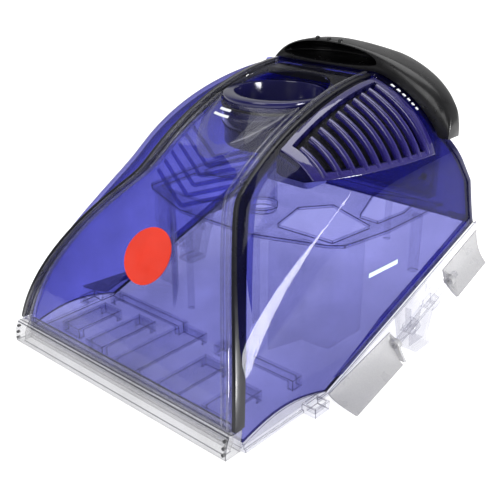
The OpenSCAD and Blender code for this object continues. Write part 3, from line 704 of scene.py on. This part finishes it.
def handle_row(x):
    """Section of the handle at x: up over the peak from the front, down to the back."""
    low = handle_low(abs(x))
    high = max(handle_top(x), low + 1.2) - low
    reach = 135.2 if x > 0 else 66
    back = min(286 + 46 * sqrt(max(0, 1 - (x / reach) ** 2)), GRIP_BACK + (225.5 - low) * 0.2)
    peak = min(281.5 + 8 * ease((abs(x) - 45) / 60), GRIP_FRONT + (back - GRIP_FRONT) * 0.6)
    n = 2 / 2.5                             # superellipse of power 2.5
    pts = [(x, peak - (peak - GRIP_FRONT) * sin(radians(q)) ** n, low + high * cos(radians(q)) ** n)
           for q in steps(90, 0, 12)]
    pts += [(x, peak + (back - peak) * sin(radians(q)) ** n, low + high * cos(radians(q)) ** n)
            for q in steps(0, 90, 16)[1:]]
    return pts


def scoop_pt(v, t):
    """Point of the finger scoop, an egg shape; v is the latitude, t goes round."""
    wide = SCOOP_LEFT if cos(radians(t)) < 0 else SCOOP_RIGHT
    high = SCOOP_UP if v > 0 else SCOOP_DOWN
    return (wide * cos(radians(v)) * cos(radians(t)),
            SCOOP_Y + SCOOP_DEPTH * cos(radians(v)) * sin(radians(t)), SCOOP_Z + high * sin(radians(v)))


grip = loft("grip", [handle_row((GRIP_LEFT if q < 0 else GRIP_RIGHT) * sin(radians(q)))
                     for q in steps(-90, 90, 120)])
scoop = loft("scoop", [[scoop_pt(v, t) for t in steps(0, 360, 64)[:-1]] for v in steps(-89, 89, 40)])
# The scoop's faces take the second material, painted darker as shade in the recess.
grip = cut(grip, scoop, 1)
PIVOT = (316, 210)
ear = cylinder("x", PIVOT, 5.5, 43, 49, 48)
ear = boolean(ear, box((43, 311, 210), (49, 321, 228)), "UNION")
ear = cut(ear, cylinder("x", PIVOT, 3.05, 40, 52, 48))
finish(join("grip", [mirrored(ear), ear, grip]), "handle_grip", [BLACK, BLACK_SCOOP_SHADE], "handle",
       replaces=["carry_handle"], bevel=0.5, angle=40, segments=3)
dome = [(0, 245), (2.5, 245), (2.4, 246.8), (2.0, 248.0), (1.2, 248.8), (0, 249.0)]
domes = [lathe("dome", dome, (x, 281), 32) for x in (-13, 0, 13)]
finish(join("domes", domes), "handle_domes", BLACK, "handle",
       replaces=["handle_bumps"], angle=60)

# ---------------------------------------------------------------- lip, tray and what stands in the tank
for node, mats, bevel, slot in (
        ("nozzle_lip", [LIP, LIP_EDGE], 0.6, "lip_clear"),
        ("base_tray", [TRAY, TRAY_EDGE], 0.6, "tray_clear"),
        ("tray_channels", [INNER, INNER_EDGE], 0.6, "tray_clear"),
        ("baffle_plate", [INNER, INNER_EDGE], 0.6, "violet_clear"),
        ("baffle_posts", [INNER, INNER_EDGE], 0.35, "violet_deep"),
        ("separator_walls", [INNER, INNER_EDGE], 0.35, "violet_clear"),
        ("inlet_spout", [INNER, INNER_EDGE], 0.4, "violet_clear"),
        ("suction_ramp_ribs", [VIOLET], 0.22, "violet_deep"),
        ("float_bracket", [INNER, INNER_EDGE], 0.3, "tray_clear")):
    edged(node, mats, bevel)
edged("float_arm", [INNER, INNER_EDGE], 0.3, body="float")
edged("shutoff_door", [INNER, INNER_EDGE], 0.3, body="float")
edged("rear_cover", [VIOLET_DEEP, VIOLET_EDGE], 0.5, angle=20)
edged("rear_duct", [VIOLET, VIOLET_EDGE], 0.8)
edged("hinge_bracket_left", [TRAY, TRAY_EDGE], 0.4)
edged("hinge_bracket_right", [TRAY, TRAY_EDGE], 0.4)

# ---------------------------------------------------------------- latches
def mix(a, b, t):
    return [p + (q - p) * t for p, q in zip(a, b)]


def bend(a, b, q):
    """Point of the curve from a (q = 0) out and down to b (q = 1)."""
    m = (a[0] + 5, (a[1] + b[1]) / 2, b[2] + (a[2] - b[2]) * 0.25)
    return [(1 - q) ** 2 * a[i] + 2 * q * (1 - q) * m[i] + q * q * b[i] for i in range(3)]


def flare(top0, tip0, top1, tip1):
    """The paddle's blade, between its two side curves."""
    rows = []
    for q in steps(1, 0, 20):
        a, b = bend(top0, tip0, q), bend(top1, tip1, q)
        out = [mix(a, b, t) for t in steps(0, 1, 12)]
        back = [(p[0] - 1.7, p[1], p[2] - 1.2) for p in out]
        rows.append(back + out[::-1])
    return loft("flare", rows)


def along_rod(ob, y):
    """Moves what stands on the origin onto the latch rod at y, turned to its slope."""
    half = DEPTH / 2 * MM
    turn = Matrix.Rotation(atan(SLOPE) - pi / 2, 4, "X")
    onto = Matrix.Translation((ROD_X * MM, (y - DEPTH / 2) * MM, (rim(y) - ROD_DROP) * MM))
    ob.data.transform(onto @ turn @ Matrix.Translation((0, half, 0)))
    return ob


def paddle(flare_points, y, low_x, low_z):
    z = rim(y) - ROD_DROP
    outline = [(138.5, z + 8), (ROD_X + 4, z + 3), (ROD_X + 4.5, z - 2), (low_x, low_z),
               (low_x - 5, low_z), (ROD_X - 3, z - 3)]
    web = prism("y", y, y + 2.5, outline, "web")
    ob = boolean(web, along_rod(cylinder("z", (0, 0), 5, -1, 4, 48), y), "UNION")
    ob = cut(ob, along_rod(cylinder("z", (0, 0), 3.02, -12, 18, 48), y))
    return boolean(flare(*flare_points), ob, "UNION")


PADDLES = {
    "front": (((138.5, 112, 6.5), (170, 106, 3), (138.5, 197, rim(197) - 5), (157, 191, 4)),
              195, 156, 4),
    "rear": (((138.5, 282, rim(282) - 5), (158, 277, 37), (138.5, 340, rim(340) - 4), (158, 326, 54)),
             281, 157, 37.5)}
for side in ("right", "left"):
    for end, measures in PADDLES.items():
        ob = paddle(*measures)
        if side == "left":
            flipped = mirrored(ob)
            bpy.data.objects.remove(ob)
            ob = flipped
        finish(ob, "paddle_%s_%s" % (end, side), [FROST, FROST_EDGE], "latch_" + side,
               replaces=["%s_paddle_%s" % (end, side)], bevel=0.5, lines=True)

# ---------------------------------------------------------------- stage, light and camera
camera = add_object("camera", bpy.data.cameras.new("camera"))
camera.location = (0.4583, -0.5211, 0.3719)
camera.rotation_euler = (radians(66.36), 0, radians(41.78))
camera.data.lens = 59.04
camera.data.sensor_width = 36
bpy.context.scene.camera = camera

# The floor shines by itself, so that it stays as white as in the photo. In reflections it is
# dimmer, or the plastic would lose its colour.
FLOOR_GLOW, FLOOR_DIMMED = 0.74, 0.45
corners = [(-3000, -3000), (3000, -3000), (3000, 3600), (-3000, 3600)]
floor = make("floor", [(x, y, -0.5) for x, y in corners], [(0, 1, 2, 3)])
m = Surface("floor")
p = m.add("ShaderNodeBsdfPrincipled", Roughness=0.9, Emission_Color=(1, 1, 1, 1))
m.link(m.blend(m.span(m.noise(6), 0, 1), (0.62, 0.62, 0.62), (0.60, 0.60, 0.60)), p.inputs["Base Color"])
glossy = m.add("ShaderNodeLightPath").outputs["Is Glossy Ray"]
m.link(m.math("MULTIPLY_ADD", glossy, -FLOOR_DIMMED, FLOOR_GLOW), p.inputs["Emission Strength"])
floor.data.materials.append(m.close(p))

# White to the camera, soft light for diffuse surfaces, and in reflections dark on the right and
# brighter towards the back left, as the photo's highlights show.
BRIGHT_SIDE, DIFFUSE_LIGHT = (-0.60, 0.72, 0.35), 0.6
world = bpy.data.worlds.new("world")
bpy.context.scene.world = world
world.use_nodes = True
w = Nodes(world.node_tree)
toward = w.add("ShaderNodeVectorMath", operation="DOT_PRODUCT")
toward.inputs[1].default_value = BRIGHT_SIDE
w.link(w.coord.outputs["Generated"], toward.inputs[0])
rise = w.add("ShaderNodeMapRange", From_Min=-0.2, From_Max=0.65, To_Min=0.04, To_Max=0.40)
w.link(toward.outputs["Value"], rise.inputs["Value"])
ray = w.add("ShaderNodeLightPath").outputs
lit = w.math("MULTIPLY_ADD", ray["Is Diffuse Ray"], DIFFUSE_LIGHT, rise.outputs["Result"])
background = world.node_tree.nodes["Background"]
background.inputs["Color"].default_value = (1, 1, 1, 1)
w.link(w.math("MAXIMUM", ray["Is Camera Ray"], lit), background.inputs["Strength"])


def lamp(name, place, target, size, watts):
    data = bpy.data.lights.new(name, "AREA")
    data.shape, data.size, data.size_y, data.energy = "RECTANGLE", *size, watts
    ob = add_object(name, data)
    ob.location = place
    ob.rotation_euler = (Vector(target) - Vector(place)).to_track_quat("-Z", "Y").to_euler()


lamp("top", place=(-0.15, 0.1, 1.6), target=(0, 0, 0.1), size=(1.3, 1.3), watts=12)
lamp("front", place=(0.1, -1.3, 0.9), target=(0, 0, 0.1), size=(0.7, 0.7), watts=4)
lamp("strip", place=(1.36, 0.18, 0.22), target=(0.11, -0.09, 0.10), size=(0.40, 0.60), watts=20)
bpy.context.scene.view_settings.view_transform = "Standard"
# A line of sight crosses up to 13 clear surfaces here; at the usual limit of 8 it turns black.
bpy.context.scene.cycles.transparent_max_bounces = 48
